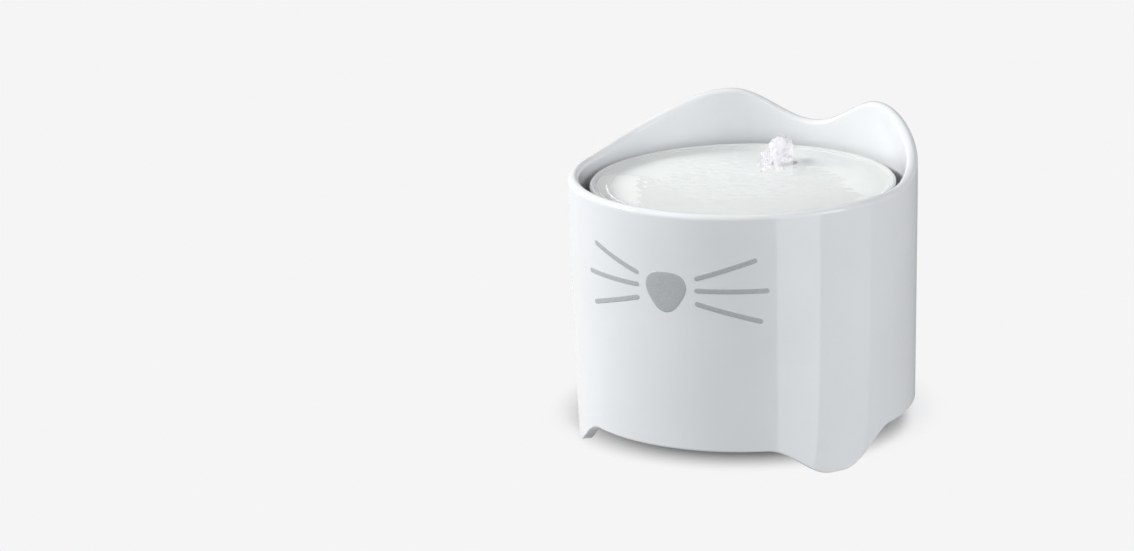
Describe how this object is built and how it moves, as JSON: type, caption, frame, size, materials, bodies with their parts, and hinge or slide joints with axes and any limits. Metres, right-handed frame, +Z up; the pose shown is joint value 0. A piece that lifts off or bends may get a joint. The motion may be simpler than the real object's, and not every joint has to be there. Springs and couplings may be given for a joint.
{
  "type": "pet water fountain",
  "caption": "Round ceramic pet drinking fountain with an ear-shaped rim, a nose and whiskers print, a lift-out tray over a reservoir, and a pump, riser, nozzle and filter inside.",
  "frame": {"origin": "on the ground at the middle of the vessel, which is the middle of its footprint", "axes": "+Z up, -Y towards the front with the nose and whiskers, +X to the right as seen from the front"},
  "size_m": [0.176, 0.176, 0.1584],
  "materials": {
    "white_glaze": "glossy white glaze",
    "tray_glaze": "glossy white glaze",
    "grey_print": "fired grey print",
    "clear_plastic": "clear moulded",
    "clear_tube": "clear flexible",
    "case_plastic": "smoky clear moulded",
    "grey_rubber": "matt",
    "white_plastic": "fine moulded",
    "white_fleece": "non-woven",
    "carbon": "granular",
    "filter_foam": "open-cell foam",
    "pump_plastic": "satin moulded",
    "clear_silicone": "translucent",
    "board": "solder-masked",
    "yoke_steel": "zinc plated",
    "copper_winding": "enamelled copper wire",
    "steel_pin": "ground",
    "black_rubber": "matt",
    "ferrite": "sintered ferrite",
    "dial_plastic": "fine moulded",
    "lead_sheath": "satin PVC",
    "socket_plastic": "satin moulded",
    "contact_metal": "nickel plated"
  },
  "bodies": {
    "vessel_and_pump": {"vessel": "white_glaze", "nose_print": "grey_print", "whisker_prints": "grey_print", "riser_tube": "clear_tube", "filter_case": "case_plastic", "case_feet": "grey_rubber", "foam_block": "filter_foam", "pump_housing": "pump_plastic", "suction_cups": "clear_silicone", "motor_cap": "pump_plastic", "control_board": "board", "stator_yoke": "yoke_steel", "stator_coil": "copper_winding", "rotor_shaft": "steel_pin", "front_bush": "black_rubber", "rear_bush": "black_rubber", "volute_seal": "black_rubber", "pump_cover": "pump_plastic", "pump_lead": "lead_sheath", "lead_gland": "black_rubber", "inlet_socket": "socket_plastic", "inlet_pin": "contact_metal", "inlet_seal": "black_rubber", "inlet_nut": "contact_metal", "inlet_backshell": "socket_plastic"},
    "tray": {"tray": "tray_glaze"},
    "nozzle": {"nozzle": "clear_plastic"},
    "case_lid": {"filter_case_lid": "case_plastic"},
    "cartridge": {"cartridge_frame": "white_plastic", "cartridge_fleece": "white_fleece", "carbon_granules": "carbon"},
    "rotor": {"rotor_magnet": "ferrite", "impeller": "white_plastic"},
    "dial": {"flow_dial": "dial_plastic"}
  },
  "joints": [
    {"name": "tray_lift", "type": "slide", "parent": "vessel_and_pump", "child": "tray", "axis": [0, 0, 1], "range_m": [0, 0.06]},
    {"name": "nozzle_lift", "type": "slide", "parent": "vessel_and_pump", "child": "nozzle", "axis": [0, 0, 1], "range_m": [0, 0.03]},
    {"name": "case_lid_lift", "type": "slide", "parent": "vessel_and_pump", "child": "case_lid", "axis": [0, 0, 1], "range_m": [0, 0.03]},
    {"name": "cartridge_lift", "type": "slide", "parent": "vessel_and_pump", "child": "cartridge", "axis": [0, 0, 1], "range_m": [0, 0.028]},
    {"name": "impeller_spin", "type": "hinge", "parent": "vessel_and_pump", "child": "rotor", "pos_m": [0, 0.049, 0.0505], "axis": [0, 1, 0], "continuous": true},
    {"name": "flow_dial_turn", "type": "hinge", "parent": "vessel_and_pump", "child": "dial", "pos_m": [0, 0.0583, 0.0505], "axis": [0, 1, 0], "range_deg": [0, 45]}
  ]
}
